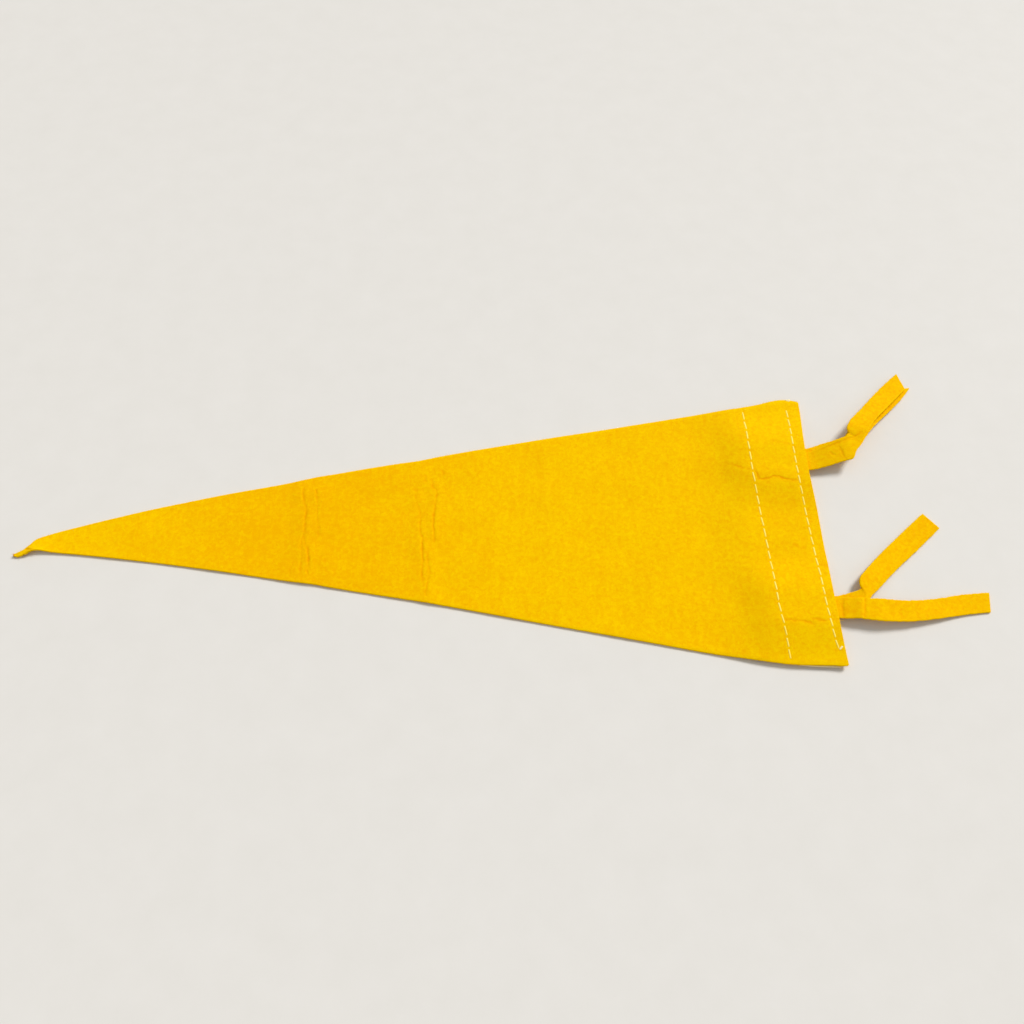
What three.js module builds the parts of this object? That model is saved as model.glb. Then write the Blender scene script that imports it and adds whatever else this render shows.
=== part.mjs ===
// A felt pennant flag lying flat on a table: one long three-cornered cloth, a
// heading strip behind its hoist edge, and two ties, each one strip folded in
// half, whose folds are held between the cloth and the strip.
//
// Millimetres. While the pieces are shaped, +X points from the tip to the hoist
// edge (x = 0), +Y to the far side and +Z up from the table. The finished part
// is moved so that the middle of its footprint lies on the origin.
import * as THREE from "three";

const FELT = 1.0; // thickness of all the felt
const GAP = 0.3; // air between two pieces lying on each other
const FOLD_GAP = 0.15; // air between the two layers of a folded tie
const FELT_COLOUR = "#f9c002";
const FELT_SHADE = "#f5bb03";
const FELT_ROUGHNESS = 0.95;

const STRIP_DEPTH = 31.0; // heading strip, from the hoist edge inwards
const STRIP_INSET = 1.2; // how far the strip stays inside the slanting edges
const STRIP_ROWS = 6; // rows of the cloth's table that the strip follows
const STRIP_EDGE_SLOPE = 0.2; // how its short edges close in past those rows
const STRIP_LINES = 13; // lines along the strip
const STRIP_MARGIN = 1.0; // level cloth past the strip's inner edge
const HEADING_RAMP = 27.0; // length over which the cloth comes down off the strip
const HOIST_BOW = 0.8; // how far the middle of the hoist edge is drawn in

const TIP_WIDTH = 12.0; // a lifted edge takes the whole width up where it is narrower
const EDGE_LIFT_POWER = 4; // a lifted edge fades towards the middle by this power

const TIE_FOLD_X = -24.0; // where each tie is folded in half
const TIE_RAMP = 22.0; // length over which the cloth comes down past a tie fold
const TIE_MARGIN = 0.6; // level cloth on each side of a tie under it
const FOLD_MARGIN = 2.0; // level cloth past the fold of a tie

// Middle heights of the layers above the table.
const FLAT_Z = FELT / 2;
const UNDER_Z = FELT + GAP + FELT / 2;
const OVER_Z = UNDER_Z + FELT + FOLD_GAP;
const CLOTH_ON_STRIP = FELT + GAP;
const CLOTH_ON_TIE = 2 * FELT + FOLD_GAP + GAP;

// Turns rows of numbers into objects with the named columns.
function table(columns, rows) {
  const names = columns.split(" ");
  return rows.map((row) => Object.fromEntries(names.map((name, k) => [name, row[k]])));
}

// Rungs across the cloth from the hoist edge to the tip. Each row holds both
// ends, how high each end is lifted, and the stations up to the next row.
const CLOTH = table("farX farY farLift nearX nearY nearLift steps", [
  [1.95, 70.6, 0, -0.7, -73.3, 0.3, 1],
  [1.3, 71.4, 0, -1.3, -73.9, 0.3, 3],
  [-6.1, 72.9, 0, -7.0, -73.6, 0.2, 3],
  [-12.6, 72.0, 0, -14.4, -73.3, 0.1, 3],
  [-19.2, 70.2, 0, -22.3, -72.9, 0, 4],
  [-28.9, 68.3, 0, -27.7, -72.4, 0, 3],
  [-36.5, 67.2, 0, -35.5, -71.2, 0, 3],
  [-44.8, 65.9, 0, -48.5, -68.8, 0, 2],
  [-60.8, 63.5, 0, -61.7, -66.3, 0, 2],
  [-92.7, 58.0, 0, -88.3, -60.6, 0, 3],
  [-139.7, 50.1, 0.2, -142.6, -49.1, 0, 3],
  [-180.5, 42.9, 0, -178.5, -41.4, 0, 4],
  [-188.8, 41.2, 0, -189.0, -39.2, 0.2, 4],
  [-197.0, 39.3, 0.2, -195.5, -37.9, 0, 4],
  [-206.0, 38.1, 0, -203.0, -36.5, 0, 3],
  [-238.5, 32.4, 0, -236.5, -30.1, 0, 3],
  [-246.0, 31.1, 0.1, -243.5, -28.6, 0, 4],
  [-251.8, 29.8, 0, -250.0, -27.6, 0.2, 4],
  [-260.7, 27.6, 0, -257.5, -26.4, 0, 3],
  [-289.9, 21.9, 0, -284.1, -21.6, 0, 3],
  [-326.0, 13.8, 0.2, -321.0, -15.6, 0, 3],
  [-360.5, 4.8, 0, -357.2, -10.7, 0.1, 3],
  [-374.2, 0.6, 0, -371.0, -9.2, 0.4, 2],
  [-380.1, -2.0, 0.2, -377.0, -8.4, 1.5, 2],
  [-382.5, -5.0, 0.4, -380.6, -8.8, 1.9, 2],
  [-385.3, -7.8, 0.5, -383.6, -10.3, 0.9, 3],
  [-388.3, -9.1, 0.2, -387.9, -11.2, 0.1, 2],
  [-389.1, -9.5, 0.1, -388.8, -10.9, 0.1, 0],
]);

// Lines across the cloth, as shares of its width from the near edge; they are
// close together where the ties lie under the cloth.
const CLOTH_LINES = table("from to count", [
  [0, 0.11, 2],
  [0.11, 0.29, 11],
  [0.29, 0.66, 8],
  [0.66, 0.86, 12],
  [0.86, 1, 2],
]);

// Creases across the cloth: a low swell with a narrow groove along its top.
// The groove runs through a far, a middle and a near point.
const CREASES = table("farX middleX nearX swell swellReach groove grooveReach", [
  [-188.4, -189.3, -191.5, 0.3, 9, 0.25, 1.6],
  [-194.6, -196.6, -193.6, 0.3, 9, 0.25, 1.6],
  [-246.2, -247.6, -246.4, 0.28, 8, 0.22, 1.6],
  [-252.4, -254.8, -254.6, 0.3, 9, 0.25, 1.6],
  [-331.0, -324.0, -315.0, 0.2, 9, 0.12, 2.2],
  [-136.5, -134.0, -138.5, 0.2, 10, 0.1, 2.4],
]);

// Soft wrinkles in the heading between the two rows of sewing and beside them.
const WRINKLES = table("startX startY endX endY height reach", [
  [-41.0, 36.5, -30.5, 30.4, 0.5, 3.0],
  [-25.0, -0.2, -5.0, -3.4, 0.3, 2.6],
  [-25.0, -10.6, -6.0, -14.2, 0.3, 2.6],
  [-5.0, -23.6, 0.0, -23.8, 0.25, 2.0],
]);

// The stretch of heading that each tie lifts, at its fold and at the hoist
// edge, and the width of the slope beside it.
const TIE_BANDS = table("foldNear foldFar hoistNear hoistFar nearSlope farSlope", [
  [30.3, 40.5, 28.6, 42.2, 24.0, 26.0],
  [-50.6, -40.4, -51.4, -40.1, 21.0, 25.0],
]);

// The ties, from the end of the under tail through the fold to the end of the
// tail on top. Each row holds the far and the near edge of the felt, at the
// middle of its thickness, and the stations up to the next row.
const TIE_COLUMNS = "farX farY farZ nearX nearY nearZ steps";

const UPPER_UNDER_TAIL = table(TIE_COLUMNS, [
  [46.5, 77.3, 1.3, 63.8, 80.6, 0.5, 3],
  [44.0, 74.8, 1.6, 57.3, 73.0, 0.9, 3],
  [41.0, 71.8, 1.9, 50.0, 65.7, 1.8, 3],
  [35.4, 66.3, 2.8, 42.7, 58.9, 2.9, 3],
  [28.4, 59.4, 4.2, 36.0, 52.2, 4.2, 3],
  [24.0, 53.6, 5.3, 31.4, 46.6, 5.0, 3],
  [22.4, 49.6, 5.7, 27.6, 41.4, 5.4, 3],
  [20.6, 47.2, 5.5, 23.2, 37.4, 5.4, 3],
  [16.2, 45.8, 4.4, 18.6, 35.9, 4.5, 3],
  [9.2, 44.2, 3.1, 11.4, 34.4, 3.1, 3],
  [0.7, 42.1, 1.9, 2.0, 32.0, 1.9, 2],
  [-7.0, 41.6, UNDER_Z, -6.6, 31.4, UNDER_Z, 2],
  [-17.0, 40.8, UNDER_Z, -16.9, 30.6, UNDER_Z, 2],
]);

const UPPER_TOP_TAIL = table(TIE_COLUMNS, [
  [-17.0, 40.3, OVER_Z, -17.0, 30.1, OVER_Z, 2],
  [-7.0, 39.3, OVER_Z, -7.2, 29.1, OVER_Z, 2],
  [1.0, 39.2, 3.0, 1.2, 28.9, 3.0, 3],
  [10.4, 41.3, 5.3, 10.8, 30.4, 4.7, 3],
  [15.6, 42.8, 6.3, 16.4, 31.8, 5.9, 2],
  [17.4, 43.3, 6.7, 18.4, 32.1, 6.4, 2],
  [20.4, 44.4, 7.2, 21.5, 32.8, 6.9, 3],
  [21.5, 46.2, 7.3, 24.2, 37.4, 7.1, 3],
  [22.3, 48.0, 7.3, 27.2, 42.2, 7.2, 3],
  [21.7, 50.2, 7.9, 29.6, 45.6, 7.6, 3],
  [22.6, 52.8, 8.0, 32.0, 48.6, 7.9, 3],
  [25.0, 56.2, 7.2, 34.6, 51.9, 7.8, 3],
  [31.8, 63.2, 5.6, 38.6, 56.9, 6.9, 3],
  [40.0, 72.0, 3.9, 45.5, 63.9, 5.2, 3],
  [48.7, 80.7, 2.7, 53.0, 71.4, 3.6, 3],
  [57.9, 89.0, 1.9, 60.0, 78.3, 2.1, 0],
]);

const LOWER_UNDER_TAIL = table(TIE_COLUMNS, [
  [51.9, 4.0, 0.5, 58.3, -4.3, 0.5, 3],
  [37.3, -8.3, 1.2, 44.0, -16.6, 0.9, 3],
  [24.5, -19.4, 2.5, 31.2, -27.2, 1.6, 3],
  [15.0, -28.6, 4.1, 22.3, -35.4, 2.3, 3],
  [12.2, -31.8, 4.6, 18.3, -38.9, 2.7, 3],
  [11.7, -34.4, 4.3, 15.6, -41.6, 2.9, 3],
  [12.6, -36.8, 3.5, 14.6, -44.6, 3.0, 3],
  [10.4, -37.6, 3.1, 12.6, -47.3, 2.9, 3],
  [6.6, -38.6, 2.6, 8.2, -48.9, 2.5, 3],
  [1.1, -39.7, 1.9, 1.6, -50.1, 1.9, 2],
  [-7.0, -40.4, UNDER_Z, -7.0, -50.6, UNDER_Z, 2],
  [-17.0, -40.5, UNDER_Z, -17.0, -50.7, UNDER_Z, 2],
]);

const LOWER_TOP_TAIL = table(TIE_COLUMNS, [
  [-17.0, -40.6, OVER_Z, -17.0, -50.8, OVER_Z, 2],
  [-7.0, -40.9, OVER_Z, -7.0, -51.1, OVER_Z, 2],
  [0.8, -40.8, 3.05, -0.2, -51.2, 3.0, 2],
  [4.3, -41.2, 3.5, 2.4, -51.6, 3.5, 2],
  [6.6, -41.6, 3.9, 4.7, -51.8, 3.9, 3],
  [12.4, -42.1, 4.7, 10.4, -52.3, 4.7, 2],
  [14.3, -42.2, 4.5, 12.5, -52.7, 4.5, 2],
  [18.2, -42.5, 4.6, 17.0, -53.5, 4.6, 3],
  [33.1, -43.4, 3.5, 31.8, -53.7, 3.5, 3],
  [47.8, -41.9, 2.0, 46.2, -52.0, 2.0, 3],
  [58.8, -40.0, 1.0, 57.4, -50.1, 1.0, 3],
  [72.9, -38.8, 0.55, 70.9, -48.8, 0.55, 0],
]);

const TIE_FOLD_STEPS = 8; // stations round the half turn of a fold
const TIE_LINES = 5; // lines along a tie

function smooth(share) {
  return THREE.MathUtils.smoothstep(share, 0, 1);
}

// One at the middle of a swell, fading to nothing at its reach on both sides.
function swell(distance, reach) {
  return 1 - smooth(Math.abs(distance) / reach);
}

// The far and the near ends of the rungs, smoothed through the rows of a table.
function rungs(rows, far, near) {
  const farCurve = new THREE.CatmullRomCurve3(rows.map(far), false, "centripetal");
  const nearCurve = new THREE.CatmullRomCurve3(rows.map(near), false, "centripetal");
  const found = [];
  const last = rows.length - 1;
  rows.forEach((row, index) => {
    const steps = Math.max(row.steps, 1);
    const count = index === last ? 1 : steps;
    for (let k = 0; k < count; k += 1) {
      const along = Math.min(index + k / steps, last) / last;
      found.push({ far: farCurve.getPoint(along), near: nearCurve.getPoint(along) });
    }
  });
  return found;
}

// Shares of a width between the near edge (0) and the far edge (1).
function sharesFromBands(bands) {
  const shares = [];
  for (const band of bands) {
    for (let k = 0; k < band.count; k += 1) {
      shares.push(band.from + ((band.to - band.from) * k) / band.count);
    }
  }
  shares.push(1);
  return shares;
}

function evenShares(count) {
  return Array.from({ length: count }, (_, k) => k / (count - 1));
}

// Square to a sheet at one point of its grid, on the side of its first face.
function sheetNormal(grid, i, j) {
  const before = grid[Math.max(i - 1, 0)][j];
  const after = grid[Math.min(i + 1, grid.length - 1)][j];
  const nearer = grid[i][Math.max(j - 1, 0)];
  const farther = grid[i][Math.min(j + 1, grid[i].length - 1)];
  const along = new THREE.Vector3().subVectors(after, before);
  const across = new THREE.Vector3().subVectors(farther, nearer);
  return along.cross(across).normalize();
}

// A closed sheet of felt around a grid of points at the middle of its thickness.
function feltAround(grid) {
  const stations = grid.length;
  const lines = grid[0].length;
  const positions = [];
  for (const side of [0.5, -0.5]) {
    for (let i = 0; i < stations; i += 1) {
      for (let j = 0; j < lines; j += 1) {
        const offset = sheetNormal(grid, i, j).multiplyScalar(side * FELT);
        positions.push(...offset.add(grid[i][j]).toArray());
      }
    }
  }
  const faces = [];
  const first = (i, j) => i * lines + j;
  const second = (i, j) => stations * lines + first(i, j);
  const quad = (a, b, c, d) => faces.push(a, b, c, a, c, d);
  for (let i = 0; i < stations - 1; i += 1) {
    for (let j = 0; j < lines - 1; j += 1) {
      quad(first(i, j), first(i + 1, j), first(i + 1, j + 1), first(i, j + 1));
      quad(second(i, j), second(i, j + 1), second(i + 1, j + 1), second(i + 1, j));
    }
    quad(first(i, 0), second(i, 0), second(i + 1, 0), first(i + 1, 0));
    const last = lines - 1;
    quad(first(i, last), first(i + 1, last), second(i + 1, last), second(i, last));
  }
  for (let j = 0; j < lines - 1; j += 1) {
    const last = stations - 1;
    quad(first(0, j), first(0, j + 1), second(0, j + 1), second(0, j));
    quad(first(last, j), second(last, j), second(last, j + 1), first(last, j + 1));
  }
  const geometry = new THREE.BufferGeometry();
  geometry.setAttribute("position", new THREE.Float32BufferAttribute(positions, 3));
  geometry.setIndex(faces);
  return geometry;
}

// How far the heading strip and the ties under the cloth lift it.
function headingLift(x, y) {
  const offStrip = smooth((-STRIP_DEPTH - STRIP_MARGIN - x) / HEADING_RAMP);
  let lift = CLOTH_ON_STRIP * (1 - offStrip);
  const offFold = smooth((TIE_FOLD_X - FOLD_MARGIN - x) / TIE_RAMP);
  const towardHoist = THREE.MathUtils.clamp(1 - x / TIE_FOLD_X, 0, 1);
  for (const band of TIE_BANDS) {
    const near = THREE.MathUtils.lerp(band.foldNear, band.hoistNear, towardHoist);
    const far = THREE.MathUtils.lerp(band.foldFar, band.hoistFar, towardHoist);
    const beyondNear = smooth((near - TIE_MARGIN - y) / band.nearSlope);
    const beyondFar = smooth((y - far - TIE_MARGIN) / band.farSlope);
    lift += CLOTH_ON_TIE * (1 - offFold) * (1 - beyondNear) * (1 - beyondFar);
  }
  return lift;
}

// Height of the creases that run across the cloth.
function creaseLift(x, share) {
  let swellHeight = 0;
  let grooveDepth = 0;
  for (const crease of CREASES) {
    const middle = 4 * share * (1 - share);
    const straight = THREE.MathUtils.lerp(crease.nearX, crease.farX, share);
    const halfway = (crease.nearX + crease.farX) / 2;
    const distance = x - straight - (crease.middleX - halfway) * middle;
    swellHeight = Math.max(swellHeight, crease.swell * swell(distance, crease.swellReach));
    grooveDepth = Math.max(grooveDepth, crease.groove * swell(distance, crease.grooveReach));
  }
  return swellHeight - grooveDepth;
}

// Height of the short wrinkles beside the ties.
function wrinkleLift(x, y) {
  let height = 0;
  for (const wrinkle of WRINKLES) {
    const start = new THREE.Vector2(wrinkle.startX, wrinkle.startY);
    const line = new THREE.Vector2(wrinkle.endX, wrinkle.endY).sub(start);
    const point = new THREE.Vector2(x, y).sub(start);
    const share = THREE.MathUtils.clamp(point.dot(line) / line.lengthSq(), 0, 1);
    const distance = point.sub(line.multiplyScalar(share)).length();
    height = Math.max(height, wrinkle.height * swell(distance, wrinkle.reach));
  }
  return height;
}

// Draws the middle of the hoist edge in a little; the effect fades inwards.
function hoistBow(x, share) {
  const nearHoist = 1 - smooth(-x / STRIP_DEPTH);
  return -HOIST_BOW * 4 * share * (1 - share) * nearHoist;
}

function clothGrid() {
  const far = (row) => new THREE.Vector3(row.farX, row.farY, row.farLift);
  const near = (row) => new THREE.Vector3(row.nearX, row.nearY, row.nearLift);
  const shares = sharesFromBands(CLOTH_LINES);
  return rungs(CLOTH, far, near).map((rung) => shares.map((share) => {
    const point = new THREE.Vector3().lerpVectors(rung.near, rung.far, share);
    const towardEdge = Math.pow(2 * share - 1, EDGE_LIFT_POWER);
    point.x += hoistBow(point.x, share);
    const atTip = rung.far.y - rung.near.y < TIP_WIDTH;
    point.z = FLAT_Z + Math.max(point.z, 0) * (atTip ? 1 : towardEdge);
    point.z += headingLift(point.x, point.y);
    point.z += creaseLift(point.x, share);
    point.z += wrinkleLift(point.x, point.y);
    return point;
  }));
}

function cloth() {
  return feltAround(clothGrid());
}

// The strip behind the heading, cut to the cloth's slanting edges.
function headingStrip() {
  const far = (row) => new THREE.Vector3(row.farX, row.farY - STRIP_INSET, 0);
  const near = (row) => new THREE.Vector3(row.nearX, row.nearY + STRIP_INSET, 0);
  const edgeRows = CLOTH.slice(0, STRIP_ROWS);
  const ends = rungs(edgeRows, far, near);
  const shares = evenShares(STRIP_LINES);
  const innerEnd = ends[ends.length - 1];
  const shift = -STRIP_DEPTH - (innerEnd.far.x + innerEnd.near.x) / 2;
  const closing = STRIP_EDGE_SLOPE * Math.abs(shift);
  ends.push({
    far: innerEnd.far.clone().add(new THREE.Vector3(shift, -closing, 0)),
    near: innerEnd.near.clone().add(new THREE.Vector3(shift, closing, 0)),
  });
  return feltAround(ends.map((rung) => shares.map((share) => {
    const point = new THREE.Vector3().lerpVectors(rung.near, rung.far, share);
    point.x += hoistBow(point.x, share);
    point.z = FLAT_Z;
    return point;
  })));
}

// The half turn at the fold of a tie, from the lower layer to the upper one.
function foldRows(far, near) {
  const radius = (OVER_Z - UNDER_Z) / 2;
  return Array.from({ length: TIE_FOLD_STEPS + 1 }, (_, k) => {
    const turn = (Math.PI * k) / TIE_FOLD_STEPS;
    const x = TIE_FOLD_X - radius * Math.sin(turn);
    const z = (UNDER_Z + OVER_Z) / 2 - radius * Math.cos(turn);
    return { far: new THREE.Vector3(x, far, z), near: new THREE.Vector3(x, near, z) };
  });
}

// One folded strip: under tail, fold, tail on top.
function tie(underTail, topTail, band) {
  const far = (row) => new THREE.Vector3(row.farX, row.farY, row.farZ);
  const near = (row) => new THREE.Vector3(row.nearX, row.nearY, row.nearZ);
  const shares = evenShares(TIE_LINES);
  const ends = [
    ...rungs(underTail, far, near),
    ...foldRows(band.foldFar, band.foldNear),
    ...rungs(topTail, far, near),
  ];
  return feltAround(ends.map((rung) => shares.map((share) => (
    new THREE.Vector3().lerpVectors(rung.near, rung.far, share)
  ))));
}

function feltMesh(name, geometry, colour) {
  const material = new THREE.MeshStandardMaterial({
    name,
    color: new THREE.Color(colour),
    roughness: FELT_ROUGHNESS,
    metalness: 0,
  });
  const mesh = new THREE.Mesh(geometry, material);
  mesh.name = name;
  return mesh;
}

// Moves the part so that its footprint is centred and it stands on z = 0.
function centreOnTable(group) {
  const box = new THREE.Box3().setFromObject(group);
  const centre = box.getCenter(new THREE.Vector3());
  for (const mesh of group.children) {
    mesh.geometry.translate(-centre.x, -centre.y, -box.min.z);
  }
  return group;
}

function pennantFlag() {
  const group = new THREE.Group();
  group.name = "pennant_flag";
  group.add(feltMesh("pennant", cloth(), FELT_COLOUR));
  group.add(feltMesh("heading_strip", headingStrip(), FELT_SHADE));
  const [upperBand, lowerBand] = TIE_BANDS;
  const upperTie = tie(UPPER_UNDER_TAIL, UPPER_TOP_TAIL, upperBand);
  const lowerTie = tie(LOWER_UNDER_TAIL, LOWER_TOP_TAIL, lowerBand);
  group.add(feltMesh("upper_tie", upperTie, FELT_COLOUR));
  group.add(feltMesh("lower_tie", lowerTie, FELT_COLOUR));
  return centreOnTable(group);
}

export default pennantFlag();
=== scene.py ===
# %% [markdown]
# # A felt pennant flag lying on a pale table
# The real thing is cut from 1 mm wool felt: one long three-cornered cloth, a
# heading strip sewn behind its wide end, and two narrow ties. Each tie is one
# strip folded in half, with its fold caught between cloth and heading. This
# lesson dresses a ready frame of plain solids with fine felt, thread and light.

# %% Load the frame
import math

import bpy
import numpy as np
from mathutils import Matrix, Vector
from mathutils.bvhtree import BVHTree


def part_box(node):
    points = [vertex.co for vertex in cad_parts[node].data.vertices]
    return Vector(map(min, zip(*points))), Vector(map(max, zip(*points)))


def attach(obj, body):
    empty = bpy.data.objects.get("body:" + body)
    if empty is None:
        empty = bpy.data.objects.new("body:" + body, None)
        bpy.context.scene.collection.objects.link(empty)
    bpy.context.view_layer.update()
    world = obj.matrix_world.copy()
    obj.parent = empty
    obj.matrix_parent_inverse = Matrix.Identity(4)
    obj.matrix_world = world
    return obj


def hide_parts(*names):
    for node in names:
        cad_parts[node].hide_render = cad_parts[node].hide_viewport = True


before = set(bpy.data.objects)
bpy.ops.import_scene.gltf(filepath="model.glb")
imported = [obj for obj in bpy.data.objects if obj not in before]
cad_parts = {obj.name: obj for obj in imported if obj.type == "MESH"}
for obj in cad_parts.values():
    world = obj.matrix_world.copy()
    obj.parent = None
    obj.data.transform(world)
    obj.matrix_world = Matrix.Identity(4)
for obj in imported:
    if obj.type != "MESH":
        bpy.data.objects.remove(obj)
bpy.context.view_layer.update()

MM = 0.001
print("nodes of the frame:", sorted(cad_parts))

# %% [markdown]
# ## Where the photograph was taken from
# The camera is made first, because everything is judged through it. It stands
# 0.44 m from the cloth and looks down at about 61 degrees, a little turned. A
# plain lens with no shift gives the same taper from the hoist to the tip.

# %% Camera
CAMERA_TARGET = Vector((8.24, 1.8, 0.0)) * MM
CAMERA_DISTANCE = 444.0 * MM
CAMERA_ELEVATION = math.radians(60.74)
CAMERA_TURN = math.radians(1.13)
FOCAL_PIXELS = 900.0
PICTURE_PIXELS = 1024.0
SENSOR_MM = 36.0

forward = Vector((
    math.sin(CAMERA_TURN) * math.cos(CAMERA_ELEVATION),
    math.cos(CAMERA_TURN) * math.cos(CAMERA_ELEVATION),
    -math.sin(CAMERA_ELEVATION),
))
camera_data = bpy.data.cameras.new("camera")
camera_data.sensor_width = SENSOR_MM
camera_data.lens = FOCAL_PIXELS / PICTURE_PIXELS * SENSOR_MM
camera_data.clip_start = 0.01
camera = bpy.data.objects.new("camera", camera_data)
camera.location = CAMERA_TARGET - forward * CAMERA_DISTANCE
camera.rotation_euler = forward.to_track_quat("-Z", "Y").to_euler()
bpy.context.scene.collection.objects.link(camera)
bpy.context.scene.camera = camera
print("camera stands at", [round(v, 3) for v in camera.location])

# %% [markdown]
# ## Sizes and the cutting table
# Shaping is easiest in millimetres from the middle of the hoist edge: x runs
# back to the tip as negative numbers and y to the far side. In the frame that
# point lies 158 mm from the middle of the footprint. Each row of the cutting
# table is one rung across the cloth: both ends, how high each end is lifted, and
# how close together the stations up to the next row are.

# %% Sizes
FELT = 1.0
GAP = 0.3
FOLD_GAP = 0.15
EDGE_ROUND = 0.25
STRIP_DEPTH = 31.0
STRIP_INSET = 1.2
HEADING_RAMP = 27.0
HOIST_BOW = 0.8
HOIST_PULL = (1.4, 0.8)
TIP_WIDTH = 12.0
TIE_FOLD_X = -24.0
TIE_RAMP = 22.0
TIE_MARGIN = 0.6
FLAT_Z = FELT / 2
UNDER_Z = FELT + GAP + FELT / 2
OVER_Z = UNDER_Z + FELT + FOLD_GAP
CLOTH_ON_STRIP = FELT + GAP
CLOTH_ON_TIE = 2 * FELT + FOLD_GAP + GAP

HOIST = np.array([158.12, -7.49, 0.0])
low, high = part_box("pennant")
print("the hoist corners lie at x =", round(high.x / MM - HOIST[0], 2), "and the near one at y =",
      round(low.y / MM - HOIST[1], 2))


def columns(names, rows):
    """The columns of a table by their names."""
    return dict(zip(names.split(), np.array(rows, float).T))


CLOTH = columns("far_x far_y far_lift near_x near_y near_lift spacing", [
    [1.95, 70.6, 0, -0.7, -73.3, 0.3, 0.4],
    [1.3, 71.4, 0, -1.3, -73.9, 0.3, 0.5],
    [-6.1, 72.9, 0, -7.0, -73.6, 0.2, 0.8],
    [-12.6, 72.0, 0, -14.4, -73.3, 0.1, 0.8],
    [-19.2, 70.2, 0, -22.3, -72.9, 0, 0.5],
    [-28.9, 68.3, 0, -27.7, -72.4, 0, 0.7],
    [-36.5, 67.2, 0, -35.5, -71.2, 0, 0.9],
    [-44.8, 65.9, 0, -48.5, -68.8, 0, 1.4],
    [-60.8, 63.5, 0, -61.7, -66.3, 0, 1.9],
    [-92.7, 58.0, 0, -88.3, -60.6, 0, 1.9],
    [-139.7, 50.1, 0.2, -142.6, -49.1, 0, 1.3],
    [-180.5, 42.9, 0, -178.5, -41.4, 0, 0.5],
    [-188.8, 41.2, 0, -189.0, -39.2, 0.2, 0.5],
    [-197.0, 39.3, 0.2, -195.5, -37.9, 0, 1.0],
    [-206.0, 38.1, 0, -203.0, -36.5, 0, 1.7],
    [-238.5, 32.4, 0, -236.5, -30.1, 0, 0.8],
    [-246.0, 31.1, 0.1, -243.5, -28.6, 0, 0.5],
    [-251.8, 29.8, 0, -250.0, -27.6, 0.2, 0.6],
    [-260.7, 27.6, 0, -257.5, -26.4, 0, 1.7],
    [-289.9, 21.9, 0, -284.1, -21.6, 0, 1.7],
    [-326.0, 13.8, 0.2, -321.0, -15.6, 0, 1.5],
    [-360.5, 4.8, 0, -357.2, -10.7, 0.1, 1.0],
    [-374.2, 0.6, 0, -371.0, -9.2, 0.4, 0.6],
    [-380.1, -2.0, 0.2, -377.0, -8.4, 1.5, 0.5],
    [-382.5, -5.0, 0.4, -380.6, -8.8, 1.9, 0.4],
    [-385.3, -7.8, 0.5, -383.6, -10.3, 0.9, 0.4],
    [-388.3, -9.1, 0.2, -387.9, -11.2, 0.1, 0.3],
    [-389.1, -9.5, 0.1, -388.8, -10.9, 0.1, 0.3],
])

# %% [markdown]
# ## From rungs to a sheet
# A sheet could start as a plane with modifiers, but then its cut edge would be
# hard to hold to the photograph. Here a smooth curve runs through each column
# of the table, and straight lines are laid across between the two curves. The
# result is a grid of points in the middle of the felt.

# %% Curves and rungs


def smooth(share):
    """From 0 to 1 with soft ends."""
    share = np.clip(share, 0.0, 1.0)
    return share * share * (3.0 - 2.0 * share)


def swell(distance, reach):
    """One at the middle, nothing from the reach outwards."""
    return 1.0 - smooth(np.abs(distance) / reach)


def curve_through(points, places):
    """A smooth curve at places that are counted in points, 0 at the first one."""
    points = np.asarray(points, float)
    ahead = 2 * points[0] - points[1]
    behind = 2 * points[-1] - points[-2]
    p = np.vstack([ahead, points, behind])
    gap = np.sqrt(np.linalg.norm(np.diff(p, axis=0), axis=1))[:, None]
    k = np.clip(places.astype(int), 0, len(points) - 2)
    t = (places - k)[:, None]
    a, b, c, d = p[k], p[k + 1], p[k + 2], p[k + 3]
    g, h, m = gap[k], gap[k + 1], gap[k + 2]
    leave = ((b - a) / g - (c - a) / (g + h) + (c - b) / h) * h
    arrive = ((c - b) / h - (d - b) / (h + m) + (d - c) / m) * h
    square = 3 * (c - b) - 2 * leave - arrive
    cube = 2 * (b - c) + leave + arrive
    return b + leave * t + square * t**2 + cube * t**3


def rungs(far, near, spacing):
    """Both ends of closely spaced rungs, cut back at the ends by the round of the edge."""
    lengths = np.linalg.norm(np.diff((far + near) / 2, axis=0), axis=1)
    places = [np.linspace(k, k + 1, math.ceil(length / step), endpoint=False)
              for k, (length, step) in enumerate(zip(lengths, spacing))]
    places = np.concatenate([*places, [len(far) - 1.0]])
    places[0] = EDGE_ROUND / lengths[0]
    places[-1] = len(far) - 1.0 - EDGE_ROUND / lengths[-1]
    return curve_through(far, places), curve_through(near, places)


def across(far, near, shares):
    """Points between the two ends of each rung, kept back from both cut edges."""
    width = np.linalg.norm((far - near)[:, :2], axis=1)
    back = (EDGE_ROUND / width)[:, None]
    inner = back + (1 - 2 * back) * shares[None, :]
    return near[:, None, :] + (far - near)[:, None, :] * inner[:, :, None], inner


def shares_from(bands):
    """Shares of a width, closer together in some bands than in others."""
    parts = [np.linspace(start, end, int(count), endpoint=False) for start, end, count in bands]
    return np.concatenate([*parts, [1.0]])


# %% [markdown]
# ## Unevenness
# Nothing about a cloth is exact, so creases and swells get a little waviness.
# A sum of a few slow waves in fixed directions is smooth, has no repeat that
# the eye would catch and comes out the same on every run.

# %% Slow waves
WAVE_LENGTHS = (0.7, 1.5)
WAVE_CALM = 1.4


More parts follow.
